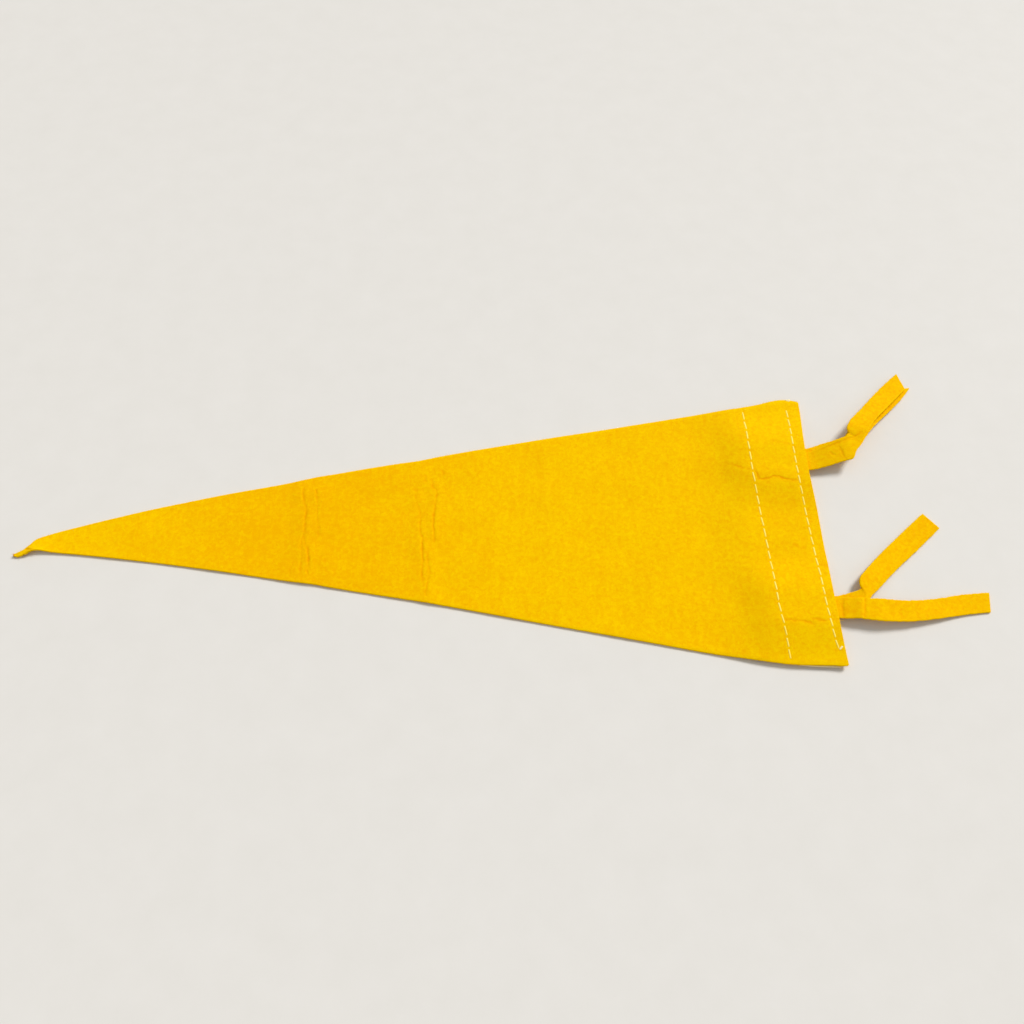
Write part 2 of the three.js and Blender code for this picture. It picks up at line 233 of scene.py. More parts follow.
def waves(x, y, length, seed, count=7):
    """Smooth unevenness from -1 to 1 with about the given distance between swells."""
    rng = np.random.default_rng(seed)
    total = np.zeros_like(x)
    for _ in range(count):
        turn = rng.uniform(0, math.tau)
        pace = math.tau / (length * rng.uniform(*WAVE_LENGTHS))
        phase = rng.uniform(0, math.tau)
        total += np.sin(pace * (x * math.cos(turn) + y * math.sin(turn)) + phase)
    return np.clip(total / math.sqrt(count) / WAVE_CALM, -1, 1)


# %% [markdown]
# ## What lies under the cloth
# At the hoist the cloth lies on the heading strip and, twice, on a folded tie.
# It comes down off each of them in a soft slope, the same one that the solids
# have, so the fine sheet and the frame agree.

# %% Lift of the heading
TIE_BANDS = columns("fold_near fold_far hoist_near hoist_far near_slope far_slope", [
    [30.3, 40.5, 28.6, 42.2, 24.0, 26.0],
    [-50.6, -40.4, -51.4, -40.1, 21.0, 25.0],
])
STRIP_MARGIN = 1.0
FOLD_MARGIN = 2.0


def heading_lift(x, y):
    """How far the strip and the folded ties lift the cloth."""
    lift = CLOTH_ON_STRIP * (1 - smooth((-STRIP_DEPTH - STRIP_MARGIN - x) / HEADING_RAMP))
    off_fold = smooth((TIE_FOLD_X - FOLD_MARGIN - x) / TIE_RAMP)
    toward_hoist = np.clip(1 - x / TIE_FOLD_X, 0, 1)
    for band in range(2):
        row = {name: column[band] for name, column in TIE_BANDS.items()}
        near = row["fold_near"] + (row["hoist_near"] - row["fold_near"]) * toward_hoist
        far = row["fold_far"] + (row["hoist_far"] - row["fold_far"]) * toward_hoist
        beyond_near = smooth((near - TIE_MARGIN - y) / row["near_slope"])
        beyond_far = smooth((y - far - TIE_MARGIN) / row["far_slope"])
        lift = lift + CLOTH_ON_TIE * (1 - off_fold) * (1 - beyond_near) * (1 - beyond_far)
    return lift


# %% [markdown]
# ## Creases
# The cloth was once folded across, which left two pairs of fine broken grooves on low swells, and it is
# puckered beside the ties. Each crease is a line of a few listed points, with its strength at each point.
# A groove is pressed into the felt along that line, and slow waves make it ragged. The old folds are much
# broken, the sharp puckers of the heading hardly at all.

# %% Crease lines
FOLD_CREASES = [
    [(-253.6, 23.9, 0.9), (-253.5, 19.9, 1.0), (-252.3, 15.8, 0.4), (-250.8, 11.3, 0.9),
     (-251.2, 8.5, 1.2), (-251.1, 4.6, 1.3), (-250.8, 0.1, 1.3), (-251.1, -2.6, 0.7),
     (-250.1, -7.5, 0.6), (-248.5, -9.7, 0.9), (-247.9, -13.5, 1.3), (-247.5, -16.7, 1.0),
     (-247.2, -19.4, 0.7), (-247.7, -21.4, 0.9), (-246.9, -24.1, 0.6)],
    [(-251.1, -2.1, 0.5), (-251.9, -5.3, 0.8), (-251.8, -8.6, 0.8), (-251.1, -10.8, 0.6),
     (-251.2, -16.1, 0.7), (-251.1, -18.7, 0.8), (-251.2, -21.4, 0.6)],
    [(-255.1, -15.0, 0.3), (-255.1, -18.1, 0.9), (-255.8, -20.8, 0.9), (-255.7, -23.9, 0.4)],
    [(-247.9, 25.0, 0.5), (-247.2, 22.6, 1.0), (-246.5, 19.2, 0.8), (-246.0, 15.7, 0.7),
     (-245.6, 11.7, 0.4), (-245.4, 6.7, 0.5), (-244.6, 2.8, 0.8), (-244.0, -0.6, 0.7),
     (-244.0, -3.3, 0.3)],
    [(-239.8, -13.1, 0.4), (-239.6, -17.4, 0.7), (-239.0, -21.6, 0.4)],
    [(-235.6, 4.8, 0.3), (-234.6, 0.9, 0.8), (-233.5, -1.3, 0.5)],
    [(-197.1, 22.8, 0.4), (-197.4, 18.8, 0.9), (-196.9, 15.3, 0.9), (-195.8, 11.3, 0.4),
     (-194.6, 7.9, 0.6), (-194.8, 4.6, 1.0), (-195.1, 0.7, 1.2), (-194.4, -2.6, 1.1),
     (-193.4, -4.9, 0.8), (-193.4, -7.6, 1.4), (-193.5, -10.8, 1.5), (-193.1, -14.6, 1.3),
     (-192.9, -17.8, 0.7), (-193.2, -22.0, 0.9), (-193.3, -25.1, 0.9), (-193.0, -27.7, 0.4)],
    [(-189.4, 27.9, 0.5), (-189.1, 23.8, 1.0), (-187.4, 22.0, 0.5), (-186.9, 19.7, 0.9),
     (-187.5, 16.3, 0.8), (-187.7, 12.9, 0.8), (-188.1, 10.0, 0.9), (-188.5, 6.7, 1.4),
     (-188.3, 3.9, 1.2), (-188.4, 1.1, 1.5), (-187.9, -1.7, 1.2), (-188.0, -4.4, 1.2),
     (-187.5, -7.1, 0.5)],
    [(-191.0, -13.6, 0.4), (-190.6, -16.8, 0.8), (-190.0, -20.0, 0.6), (-189.5, -23.6, 1.0),
     (-190.3, -27.3, 0.9), (-190.7, -30.9, 1.0), (-191.1, -35.0, 0.9)],
    [(-193.4, 30.9, 0.4), (-193.0, 28.0, 0.8), (-191.7, 25.6, 0.5)],
    [(-184.4, 34.3, 0.3), (-184.2, 31.3, 0.8), (-184.4, 29.0, 0.3)],
    [(-332.8, 10.2, 0.3), (-330.5, 0.0, 0.4), (-328.9, -11.3, 0.2)],
    [(-318.9, 14.4, 0.3), (-317.0, 2.0, 0.4), (-314.1, -14.3, 0.2)],
    [(-167.0, 44.0, 0.2), (-168.3, 30.0, 0.5), (-169.8, 18.0, 0.2)],
    [(-134.5, 46.0, 0.2), (-135.3, 27.0, 0.35), (-134.8, 12.0, 0.15)],
    [(-203.5, 36.0, 0.2), (-204.0, 22.0, 0.35), (-202.6, 10.0, 0.15)],
]
HEADING_CREASES = [
    [(-28.0, 31.0, 0.5), (-27.7, 27.8, 1.2), (-26.8, 24.7, 1.3), (-26.0, 23.4, 0.9)],
    [(-26.6, 23.3, 1.3), (-24.2, 23.4, 1.8), (-21.9, 23.7, 1.9), (-18.5, 24.9, 1.6),
     (-16.3, 24.4, 1.4), (-14.2, 23.5, 1.8), (-11.0, 22.5, 1.9), (-9.4, 22.2, 1.2),
     (-7.2, 22.3, 0.4)],
    [(-42.5, 34.6, 0.2), (-39.3, 33.1, 0.8), (-36.2, 31.8, 1.1), (-34.3, 30.6, 1.1),
     (-31.7, 29.3, 0.6), (-29.6, 28.4, 0.3)],
    [(-26.3, -52.0, 0.8), (-22.3, -52.4, 1.1), (-18.7, -52.8, 0.9), (-15.3, -53.6, 1.3),
     (-13.8, -54.4, 0.6)],
    [(-14.2, -51.9, 0.5), (-12.2, -52.1, 1.1), (-9.1, -52.9, 1.2), (-5.5, -52.4, 0.9),
     (-2.0, -52.5, 0.7)],
    [(-19.9, 46.0, 0.3), (-14.0, 44.8, 0.7), (-10.4, 44.2, 0.6), (-8.0, 43.6, 0.3)],
    [(-25.0, 0.0, 0.2), (-15.0, -2.2, 0.5), (-5.7, -3.1, 0.7)],
    [(-24.9, -10.4, 0.2), (-18.0, -11.6, 0.6), (-14.7, -12.5, 0.9), (-11.3, -14.4, 0.9),
     (-8.7, -14.3, 0.5)],
    [(-5.0, -24.0, 0.4), (-2.8, -24.3, 0.9), (-0.4, -24.5, 0.7)],
    [(-23.5, 11.5, 0.2), (-17.0, 10.4, 0.5), (-10.0, 10.8, 0.3)],
    [(-31.0, 9.5, 0.2), (-36.0, 12.5, 0.5), (-41.0, 17.5, 0.2)],
    [(-31.5, -14.0, 0.2), (-38.0, -12.0, 0.4), (-45.0, -12.6, 0.2)],
]
TIP_CREASES = [
    [(-384.6, -7.3, 0.8), (-383.3, -7.4, 1.4), (-381.4, -8.1, 1.2), (-380.4, -8.7, 0.8)],
]
CREASE_REACH = 0.48
CREASE_SWELL = 0.28
HEADING_SWELL = 0.2
HEADING_PRESS = 0.6
CREASE_SWELL_REACH = 9.0
CREASE_GROOVE = 0.26
CREASE_DEEPEST = 2.0
CREASE_WANDER = 0.3
CREASE_WANDER_LENGTH = 2.6
CREASE_BREAK_LENGTH = 4.5


def off_line(x, y, line):
    """Distance from a line of points, and the strength at the nearest place on it."""
    nearest = np.full(x.shape, np.inf)
    strength = np.zeros(x.shape)
    for (x0, y0, s0), (x1, y1, s1) in zip(line[:-1], line[1:]):
        dx, dy = x1 - x0, y1 - y0
        share = np.clip(((x - x0) * dx + (y - y0) * dy) / (dx * dx + dy * dy), 0, 1)
        distance = np.hypot(x - x0 - share * dx, y - y0 - share * dy)
        closer = distance < nearest
        nearest = np.where(closer, distance, nearest)
        strength = np.where(closer, s0 + (s1 - s0) * share, strength)
    return nearest, strength


def creases(x, y, lines, seed, breaks):
    """How strongly each point lies in a groove, and how much it is on a swell."""
    wander_x = x + CREASE_WANDER * waves(x, y, CREASE_WANDER_LENGTH, seed)
    wander_y = y + CREASE_WANDER * waves(x, y, CREASE_WANDER_LENGTH, seed + 1)
    broken = 1 - breaks * (0.5 - 0.6 * waves(x, y, CREASE_BREAK_LENGTH, seed + 2))
    groove = np.zeros(x.shape)
    raised = np.zeros(x.shape)
    for line in lines:
        distance, strength = off_line(wander_x, wander_y, line)
        groove = np.maximum(groove, strength * broken * np.exp(-((distance / CREASE_REACH) ** 2)))
        raised = np.maximum(raised, strength * swell(distance, CREASE_SWELL_REACH))
    return np.clip(groove, 0, CREASE_DEEPEST), raised


# %% [markdown]
# ## The rows of sewing
# Two machine-sewn rows hold the heading strip. They are needed before the cloth is made, because each
# stitch pulls a shallow trough into the felt and a deeper dimple at its needle hole. A row is a line of
# given points. Its stitches get a little shorter from the far edge to the near one, as they do in the
# photograph.

# %% Stitch rows
DIMPLE = 0.16
DIMPLE_REACH = 1.0
TROUGH = 0.05
TROUGH_REACH = 1.6
STITCH_ROWS = {
    "hoist_row": [(-5.2, 66.7), (-5.8, 54.0), (-6.5, 40.0), (-6.6, 28.0), (-6.1, 10.0), (-5.8, -8.0),
                  (-5.5, -25.0), (-5.9, -39.0), (-5.7, -51.0), (-4.9, -60.0), (-3.8, -66.5)],
    "inner_row": [(-28.2, 66.1), (-28.5, 52.0), (-29.0, 38.0), (-28.9, 25.0), (-28.3, 10.0),
                  (-27.9, -8.0), (-27.6, -28.0), (-27.8, -42.0), (-27.2, -53.0), (-26.5, -61.0),
                  (-26.3, -70.7)],
}
STITCH_PITCH = {"hoist_row": (6.0, 5.1), "inner_row": (6.5, 5.3)}
ROW_STEPS = 400
PITCH_SCATTER = 0.16
HOLE_SCATTER = 0.09


def along_row(points):
    """The row as a close line, and the distance sewn up to each of its points."""
    line = curve_through(np.array(points, float), np.linspace(0, len(points) - 1, ROW_STEPS))
    sewn = np.concatenate([[0], np.cumsum(np.linalg.norm(np.diff(line, axis=0), axis=1))])
    return line, sewn


def holes_of(points, pitch, seed):
    """Needle holes at a pitch that gets slowly shorter, each a hair off the line."""
    line, sewn = along_row(points)
    count = round(sewn[-1] / (sum(pitch) / 2))
    steps = np.linspace(*pitch, count)
    places = np.concatenate([[0], np.cumsum(steps)]) * sewn[-1] / steps.sum()
    rng = np.random.default_rng(seed)
    places[1:-1] += rng.normal(0, PITCH_SCATTER, count - 1)
    holes = np.stack([np.interp(places, sewn, line[:, k]) for k in range(2)], axis=1)
    holes += rng.normal(0, HOLE_SCATTER, holes.shape)
    return holes


NEEDLE_HOLES = {name: holes_of(points, STITCH_PITCH[name], seed)
                for seed, (name, points) in enumerate(STITCH_ROWS.items(), start=21)}
print("stitches in each row:", {name: len(holes) - 1 for name, holes in NEEDLE_HOLES.items()})


def pulled_in(x, y):
    """How far the stitches press the felt in."""
    depth = np.zeros(x.shape)
    for holes in NEEDLE_HOLES.values():
        line = [(hx, hy, 1.0) for hx, hy in holes]
        distance, _ = off_line(x, y, line)
        trough = TROUGH * swell(distance, TROUGH_REACH)
        nearest = np.full(x.shape, np.inf)
        for hx, hy in holes:
            nearest = np.minimum(nearest, np.hypot(x - hx, y - hy))
        depth = np.maximum(depth, np.maximum(trough, DIMPLE * swell(nearest, DIMPLE_REACH)))
    return depth


# %% [markdown]
# ## Felt has thickness
# A sheet of felt is 1 mm thick with a cut edge that the blade leaves slightly
# rounded. A Solidify modifier gives square edges only, so the closed mesh is
# written out: a face on each side of the grid, and a few rings round the rim
# that follow a small section of the edge. Shears also leave a long cut a little
# uneven, so both long edges may be moved in and out.

# %% Closed sheet of felt
RIM = columns("inset height", [
    [0.08, 0.42],
    [0.0, 0.2],
    [0.0, -0.2],
    [0.08, -0.42],
])
RIM_BORDER = 0.8
RAGGED_LENGTH = 2.4


def unit(vectors):
    """The same directions with a length of one."""
    return vectors / np.linalg.norm(vectors, axis=-1, keepdims=True)


def rim_loop(stations, lines):
    """Places of the grid's border, once round."""
    first = [(i, 0) for i in range(stations)]
    second = [(stations - 1, j) for j in range(1, lines)]
    third = [(i, lines - 1) for i in range(stations - 2, -1, -1)]
    fourth = [(0, j) for j in range(lines - 2, 0, -1)]
    return np.array(first + second + third + fourth)


def new_mesh(name, points_mm, faces, layers=None):
    """A mesh object in metres, smooth, with one number for each point in each layer."""
    mesh = bpy.data.meshes.new(name)
    mesh.from_pydata(((points_mm + HOIST) * MM).tolist(), [], faces)
    mesh.polygons.foreach_set("use_smooth", [True] * len(mesh.polygons))
    for layer, values in (layers or {}).items():
        mesh.attributes.new(layer, "FLOAT", "POINT").data.foreach_set("value", values.astype(np.float32))
    mesh.update()
    piece = bpy.data.objects.new(name, mesh)
    bpy.context.scene.collection.objects.link(piece)
    return piece


def ragged(grid, amount, seed):
    """The two long cut edges moved in and out a little, as shears leave them."""
    way = unit(grid[:, -1] - grid[:, 0])
    for line, outward in ((0, -1.0), (-1, 1.0)):
        edge = grid[:, line].copy()
        moved = waves(edge[:, 0], edge[:, 1], RAGGED_LENGTH, seed + line)
        grid[:, line] = edge + way * (outward * amount * moved)[:, None]


def felt_sheet(name, grid, press_first, press_second, groove, shade):
    """Felt round a grid: the first face is on the side of across x along."""
    stations, lines, _ = grid.shape
    along = np.gradient(grid, axis=0)
    cross = np.gradient(grid, axis=1)
    normal = unit(np.cross(cross, along))
    first = grid + normal * (FELT / 2 - press_first)[:, :, None]
    second = grid - normal * (FELT / 2 - press_second)[:, :, None]
    loop = rim_loop(stations, lines)
    border = grid[loop[:, 0], loop[:, 1]]
    border_normal = normal[loop[:, 0], loop[:, 1]]
    tangent = unit(np.roll(border, -1, axis=0) - np.roll(border, 1, axis=0))
    outward = unit(np.cross(border_normal, tangent))
    rings = [border + outward * (EDGE_ROUND - inset) + border_normal * height * FELT
             for inset, height in zip(RIM["inset"], RIM["height"])]
    points = np.concatenate([first.reshape(-1, 3), second.reshape(-1, 3), *rings])

    index = np.arange(stations * lines).reshape(stations, lines)
    a, b = index[:-1, :-1], index[:-1, 1:]
    c, d = index[1:, 1:], index[1:, :-1]
    side = np.stack([a, b, c, d], axis=-1).reshape(-1, 4)
    faces = [side, side[:, ::-1] + stations * lines]
    around = loop[:, 0] * lines + loop[:, 1]
    start = 2 * stations * lines
    rows = [around]
    rows += [start + k * len(around) + np.arange(len(around)) for k in range(len(rings))]
    rows.append(around + stations * lines)
    for upper, lower in zip(rows[:-1], rows[1:]):
        ahead = np.roll(upper, -1), np.roll(lower, -1)
        faces.append(np.stack([upper, ahead[0], ahead[1], lower], axis=-1))

    rim_share = np.zeros((stations, lines))
    rim_share[loop[:, 0], loop[:, 1]] = RIM_BORDER
    rim_values = np.concatenate([rim_share.ravel(), rim_share.ravel(), np.ones(len(rings) * len(loop))])
    groove_values = np.concatenate([groove.ravel(), groove.ravel(), np.zeros(len(rings) * len(loop))])
    rim_shade = np.tile(shade[loop[:, 0], loop[:, 1]], len(rings))
    shade_values = np.concatenate([shade.ravel(), shade.ravel(), rim_shade])
    layers = {"rim": rim_values, "groove": groove_values, "shade": shade_values}
    piece = new_mesh(name, points, np.concatenate(faces).tolist(), layers)
    triangles = 2 * len(piece.data.polygons)
    print(f"{name}: {stations} x {lines} grid, {triangles} triangles")
    return piece


# %% [markdown]
# ## The cloth
# The big three-cornered cloth follows its table. Its lines run closer together
# where the ties lie under it, and its stations where the creases and the two
# rows of sewing are. All heights are added to the grid before it gets thickness.
# The hoist edge bows in, and is drawn back a little more where a tie lifts it.
# The felt is painted a little darker between its two pairs of folds, and painted light brightens the tip,
# which slopes away from the lamp, and a few places of the heading; that goes in a layer of its own.

# %% Make the cloth
CLOTH_LINES = [(0, 0.115, 10), (0.115, 0.16, 11), (0.16, 0.29, 13), (0.29, 0.64, 28), (0.64, 0.7, 17),
               (0.7, 0.86, 20), (0.86, 1, 10)]
EDGE_LIFT_POWER = 4
CLOTH_RAGGED = 0.05
SLOW_SWELL = 0.14
SLOW_SWELL_LENGTH = 34.0
DARK_BAND_X = -262.0
DARK_BAND_REACHES = (130.0, 85.0)
PAINTED_LIGHT_PLACES = columns("x y reach strength", [
    [-14.0, 56.0, 38.0, 0.5],
    [-12.0, -64.0, 24.0, 0.8],
    [-16.0, 20.0, 20.0, 0.4],
    [-42.0, 0.0, 34.0, 0.3],
])
TIP_PAINTED_LIGHT = -0.25
TIP_LIGHT_X = -325.0
TIP_LIGHT_LENGTH = 30.0
TIP_END_PAINTED_LIGHT = -0.9
TIP_END_X = -378.0
TIP_END_LENGTH = 7.0


def hoist_bow(x, share):
    """The hoist edge bows in, most at its middle."""
    return -HOIST_BOW * 4 * share * (1 - share) * (1 - smooth(-x / STRIP_DEPTH))


def hoist_pull(x, y):
    """How far the edge is drawn back where a tie lifts the cloth."""
    pull = np.zeros(y.shape)
    for band, most in enumerate(HOIST_PULL):
        beyond_near = smooth((TIE_BANDS["hoist_near"][band] - y) / TIE_BANDS["near_slope"][band])
        beyond_far = smooth((y - TIE_BANDS["hoist_far"][band]) / TIE_BANDS["far_slope"][band])
        pull += most * (1 - beyond_near) * (1 - beyond_far)
    return pull * (1 - smooth(-x / STRIP_DEPTH))


far = np.stack([CLOTH["far_x"], CLOTH["far_y"], CLOTH["far_lift"]], axis=1)
near = np.stack([CLOTH["near_x"], CLOTH["near_y"], CLOTH["near_lift"]], axis=1)
far_ends, near_ends = rungs(far, near, CLOTH["spacing"])
grid, share = across(far_ends, near_ends, shares_from(CLOTH_LINES))
x, y = grid[:, :, 0], grid[:, :, 1]
x = x + hoist_bow(x, share) - hoist_pull(x, y)
rung_width = (far_ends - near_ends)[:, 1:2]
edge_lift = np.where(rung_width < TIP_WIDTH, 1.0, (2 * share - 1) ** EDGE_LIFT_POWER)
fold_groove, fold_swell = creases(x, y, FOLD_CREASES, seed=3, breaks=0.55)
heading_groove, heading_swell = creases(x, y, HEADING_CREASES, seed=8, breaks=0.2)
tip_groove, _ = creases(x, y, TIP_CREASES, seed=12, breaks=0.2)
groove = np.maximum(np.maximum(fold_groove, heading_groove), tip_groove)
pressed = np.maximum(np.maximum(fold_groove, HEADING_PRESS * heading_groove), tip_groove)
slow = SLOW_SWELL * (1 + waves(x, y, SLOW_SWELL_LENGTH, 5))
grid[:, :, 2] = FLAT_Z + np.maximum(grid[:, :, 2], 0) * edge_lift + heading_lift(x, y)
grid[:, :, 2] += CREASE_SWELL * fold_swell + HEADING_SWELL * np.minimum(heading_swell, 1) + slow
grid[:, :, 2] -= CREASE_GROOVE / 2 * pressed
grid[:, :, 2] = np.maximum(grid[:, :, 2], FLAT_Z)
grid[:, :, 0] = x
ragged(grid, CLOTH_RAGGED, 51)
top_press = CREASE_GROOVE / 2 * pressed + pulled_in(x, y)
# darker between the two pairs of folds
shade = swell(x - DARK_BAND_X, np.where(x > DARK_BAND_X, *DARK_BAND_REACHES))
# painted light at a few places of the heading and towards the tip
for painted_light_x, painted_light_y, reach, strength in zip(*PAINTED_LIGHT_PLACES.values()):
    shade -= strength * swell(np.hypot(x - painted_light_x, y - painted_light_y), reach)
shade += TIP_PAINTED_LIGHT * smooth((TIP_LIGHT_X - x) / TIP_LIGHT_LENGTH)
shade += TIP_END_PAINTED_LIGHT * smooth((TIP_END_X - x) / TIP_END_LENGTH)
cloth = felt_sheet("pennant_cloth", grid, top_press, CREASE_GROOVE / 4 * pressed, groove, shade)

# %% [markdown]
# ## The heading strip
# Behind the hoist lies a straight strip of the same felt. It follows the cloth's
# slanting ends a little over a millimetre inside them. It is hidden from above,
# and the underside shows the stitches' second thread.

# %% Make the heading strip
STRIP_ROWS = 6
STRIP_EDGE_SLOPE = 0.2
STRIP_SPACING = 0.8
STRIP_LINES = 170

strip_far = far[:STRIP_ROWS] * [1, 1, 0] - [0, STRIP_INSET, 0]
strip_near = near[:STRIP_ROWS] * [1, 1, 0] + [0, STRIP_INSET, 0]
shift = -STRIP_DEPTH - (strip_far[-1, 0] + strip_near[-1, 0]) / 2
closing = STRIP_EDGE_SLOPE * abs(shift)
strip_far = np.vstack([strip_far, strip_far[-1] + [shift, -closing, 0]])
strip_near = np.vstack([strip_near, strip_near[-1] + [shift, closing, 0]])
ends = rungs(strip_far, strip_near, [STRIP_SPACING] * STRIP_ROWS)
grid, share = across(*ends, np.linspace(0, 1, STRIP_LINES))
grid[:, :, 0] += hoist_bow(grid[:, :, 0], share)
grid[:, :, 2] = FLAT_Z
x, y = grid[:, :, 0], grid[:, :, 1]
plain = np.zeros(x.shape)
strip = felt_sheet("heading_felt", grid, plain, pulled_in(x, y), plain, plain)

# %% [markdown]
# ## The ties
# Each tie is one narrow strip. Its table runs from the end of the lower tail up
# to the fold, and the second one from the fold to the end of the tail on top.
# The rows hold both cut edges at the middle of the felt, so a kink or a twist
# is simply two rows whose edges are at other heights.

# %% The ties' tables
TIE_COLUMNS = "far_x far_y far_z near_x near_y near_z"
UPPER_UNDER_TAIL = columns(TIE_COLUMNS, [
    [46.5, 77.3, 1.3, 63.8, 80.6, 0.5],
    [44.0, 74.8, 1.6, 57.3, 73.0, 0.9],
    [41.0, 71.8, 1.9, 50.0, 65.7, 1.8],
    [35.4, 66.3, 2.8, 42.7, 58.9, 2.9],
    [28.4, 59.4, 4.2, 36.0, 52.2, 4.2],
    [24.0, 53.6, 5.3, 31.4, 46.6, 5.0],
    [22.4, 49.6, 5.7, 27.6, 41.4, 5.4],
    [20.6, 47.2, 5.5, 23.2, 37.4, 5.4],
    [16.2, 45.8, 4.4, 18.6, 35.9, 4.5],
    [9.2, 44.2, 3.1, 11.4, 34.4, 3.1],
    [0.7, 42.1, 1.9, 2.0, 32.0, 1.9],
    [-7.0, 41.6, UNDER_Z, -6.6, 31.4, UNDER_Z],
    [-17.0, 40.8, UNDER_Z, -16.9, 30.6, UNDER_Z],
])
UPPER_TOP_TAIL = columns(TIE_COLUMNS, [
    [-17.0, 40.3, OVER_Z, -17.0, 30.1, OVER_Z],
    [-7.0, 39.3, OVER_Z, -7.2, 29.1, OVER_Z],
    [1.0, 39.2, 3.0, 1.2, 28.9, 3.0],
    [10.2, 41.9, 5.3, 10.8, 30.4, 4.7],
    [15.3, 43.8, 6.3, 16.4, 31.8, 5.9],
    [17.0, 44.5, 6.7, 18.4, 32.1, 6.4],
    [19.8, 45.6, 7.2, 21.5, 32.8, 6.9],
    [21.1, 46.9, 7.3, 24.2, 37.4, 7.1],
    [22.3, 48.0, 7.3, 27.2, 42.2, 7.2],
    [21.7, 50.2, 7.9, 29.6, 45.6, 7.6],
    [22.6, 52.8, 8.0, 32.0, 48.6, 7.9],
    [25.0, 56.2, 7.2, 34.6, 51.9, 7.8],
    [31.8, 63.2, 5.6, 38.6, 56.9, 6.9],
    [40.0, 72.0, 3.9, 45.5, 63.9, 5.2],
    [48.7, 80.7, 2.7, 53.0, 71.4, 3.6],
    [57.9, 89.0, 1.9, 60.0, 78.3, 2.1],
])
LOWER_UNDER_TAIL = columns(TIE_COLUMNS, [
    [51.9, 4.0, 0.5, 58.3, -4.3, 0.5],
    [37.3, -8.3, 1.2, 44.0, -16.6, 0.9],
    [24.5, -19.4, 2.5, 31.2, -27.2, 1.6],
    [15.0, -28.6, 4.1, 22.3, -35.4, 2.3],
    [12.2, -31.8, 4.6, 18.3, -38.9, 2.7],
    [11.7, -34.4, 4.3, 15.6, -41.6, 2.9],
    [12.1, -36.7, 3.5, 14.6, -44.6, 3.0],
    [10.4, -37.6, 3.1, 12.6, -47.3, 2.9],
    [6.6, -38.6, 2.6, 8.2, -48.9, 2.5],
    [1.1, -39.7, 1.9, 1.6, -50.1, 1.9],
    [-7.0, -40.4, UNDER_Z, -7.0, -50.6, UNDER_Z],
    [-17.0, -40.5, UNDER_Z, -17.0, -50.7, UNDER_Z],
])
LOWER_TOP_TAIL = columns(TIE_COLUMNS, [
    [-17.0, -40.6, OVER_Z, -17.0, -50.8, OVER_Z],
    [-7.0, -40.9, OVER_Z, -7.0, -51.1, OVER_Z],
    [0.8, -40.8, 3.05, -0.2, -51.2, 3.0],
    [4.3, -41.2, 3.5, 2.4, -51.6, 3.5],
    [6.6, -41.6, 3.9, 4.7, -51.8, 3.9],
    [10.7, -42.0, 4.7, 8.7, -52.2, 4.7],
    [12.6, -42.1, 4.5, 10.8, -52.5, 4.5],
    [18.2, -42.5, 4.6, 17.0, -53.5, 4.6],
    [33.1, -43.4, 3.5, 31.8, -53.7, 3.5],
    [47.8, -41.9, 2.0, 46.2, -52.0, 2.0],
    [58.8, -40.0, 1.0, 57.4, -50.1, 1.0],
    [72.9, -38.8, 0.55, 70.9, -48.8, 0.55],
])
UPPER_TIE_CREASES = [
    [(16.0, 42.2, 0.3), (16.5, 39.4, 1.0), (17.3, 34.0, 0.9)],
    [(11.2, 38.0, 0.3), (12.6, 36.2, 0.9), (14.0, 35.0, 0.3)],
    [(4.0, 39.2, 0.3), (10.6, 40.9, 0.9), (15.8, 42.6, 1.1), (18.6, 43.6, 1.1), (21.5, 44.7, 1.0),
     (24.5, 45.5, 1.0), (28.9, 48.1, 0.6)],
    [(27.5, 52.0, 0.2), (31.0, 53.0, 0.7), (33.5, 55.5, 0.3)],
]
LOWER_TIE_CREASES = [
    [(2.5, -41.4, 0.4), (1.8, -46.0, 0.9), (1.2, -50.8, 0.9)],
    [(12.3, -42.5, 0.9), (11.3, -47.5, 1.2), (10.2, -52.0, 0.9)],
    [(23.2, -44.0, 0.3), (22.6, -50.6, 0.7)],
    [(28.4, -45.0, 0.2), (27.8, -51.2, 0.5)],
]

# %% [markdown]
# The fold itself is a half turn of small radius. The creases of a tail are pressed only into the tail on
# top, because it alone is seen there. A free tail lies in slow waves, but not where it touches the table,
# and the upper tie gets painted light where it comes out from under the cloth, because its root rises
# away from the lamp.

# %% Make the ties
TIE_SPACING = 0.5
TIE_LINES = 21
FOLD_STEPS = 14
TIE_GROOVE = 0.26
TIE_WAVE = 0.12
TIE_WAVE_LENGTH = 13.0
TIE_FREE_X = 2.0
TIE_FREE_LENGTH = 8.0
TIE_LOOSE_Z = 0.8
TIE_RAGGED = 0.13
TIE_PAINTED_LIGHT = -0.8
TIE_PAINTED_LIGHT_PLACE = (12.0, 38.0)
TIE_PAINTED_LIGHT_REACH = 20.0


def edges_of(tail):
    """The far and the near edge of a tail, as points."""
    return (np.stack([tail["far_x"], tail["far_y"], tail["far_z"]], axis=1),
            np.stack([tail["near_x"], tail["near_y"], tail["near_z"]], axis=1))


def half_turn(band):
    """The edges round the fold, from the lower layer to the one on top."""
    radius = (OVER_Z - UNDER_Z) / 2
    turn = np.linspace(0, math.pi, FOLD_STEPS + 1)
    x = TIE_FOLD_X - radius * np.sin(turn)
    z = (UNDER_Z + OVER_Z) / 2 - radius * np.cos(turn)
    return [np.stack([x, np.full(x.shape, TIE_BANDS[edge][band]), z], axis=1)
            for edge in ("fold_far", "fold_near")]


